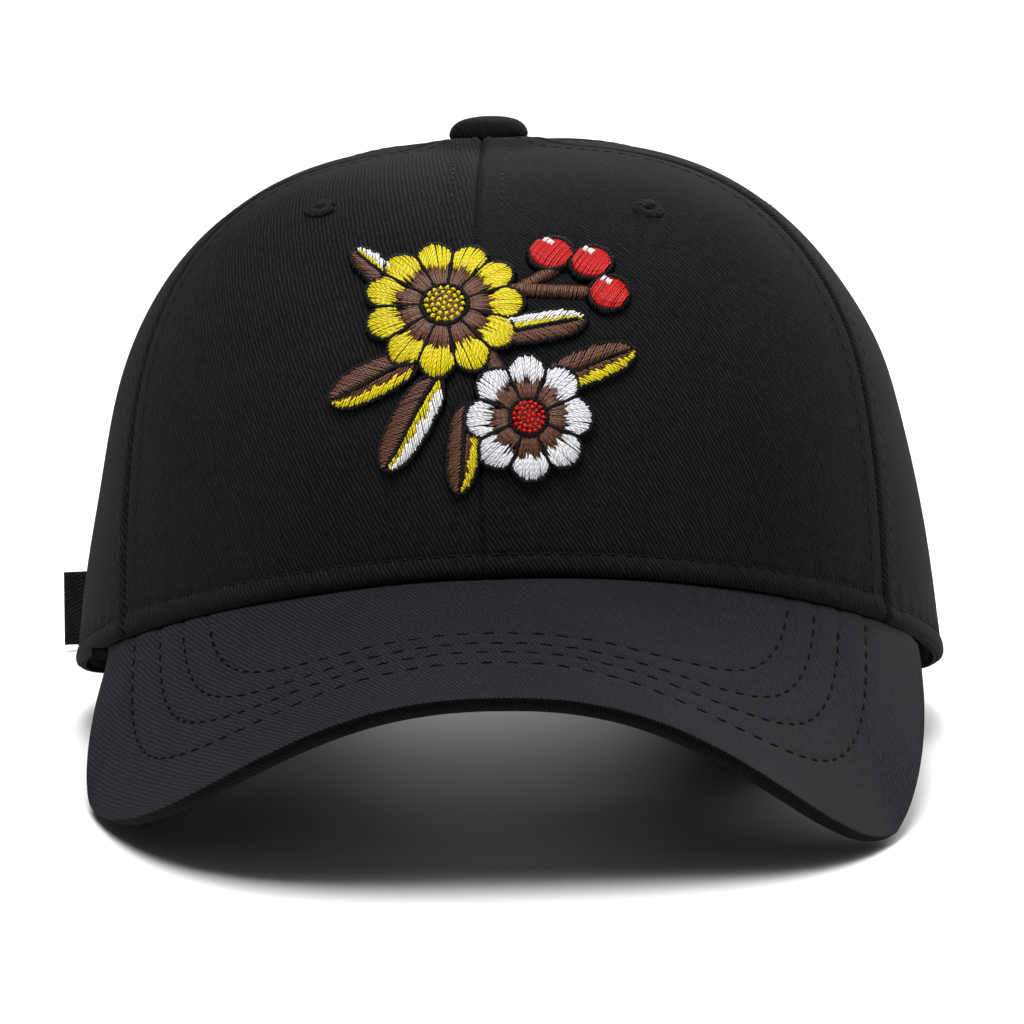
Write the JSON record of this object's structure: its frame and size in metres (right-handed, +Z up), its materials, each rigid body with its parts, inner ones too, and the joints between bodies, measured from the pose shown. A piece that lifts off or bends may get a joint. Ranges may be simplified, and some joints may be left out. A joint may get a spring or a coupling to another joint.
{
  "type": "baseball cap",
  "caption": "Structured black cotton twill baseball cap with a curved peak, a cloth-covered button, stitched vent eyelets and a raised flower embroidery on the front.",
  "frame": {"origin": "on the surface it stands on, below the middle of the whole cap's bounding box", "axes": "+Z up; -Y towards the front of the peak; +X towards the viewer's right, facing the peak"},
  "size_m": [0.1942, 0.2662, 0.1284],
  "materials": {
    "twill": "black cotton twill, matt",
    "peak_twill": "black cotton twill over board, matt",
    "band_cloth": "black cotton band, matt",
    "thread": "black sewing thread, faint sheen",
    "metal": "dull nickel",
    "stitching": "embroidery thread with a sheen, mostly yellow"
  },
  "bodies": {
    "root": {"panel_front_left": "twill", "panel_front_right": "twill", "panel_side_left": "twill", "panel_side_right": "twill", "panel_back_left": "twill", "panel_back_right": "twill", "button": "twill", "eyelet_front_left": "thread", "eyelet_front_right": "thread", "eyelet_side_left": "thread", "eyelet_side_right": "thread", "eyelet_back_left": "thread", "eyelet_back_right": "thread", "peak": "peak_twill", "sweatband": "band_cloth", "strap": "twill", "strap_loop": "twill", "buckle": "metal", "embroidery": "stitching"}
  },
  "joints": []
}
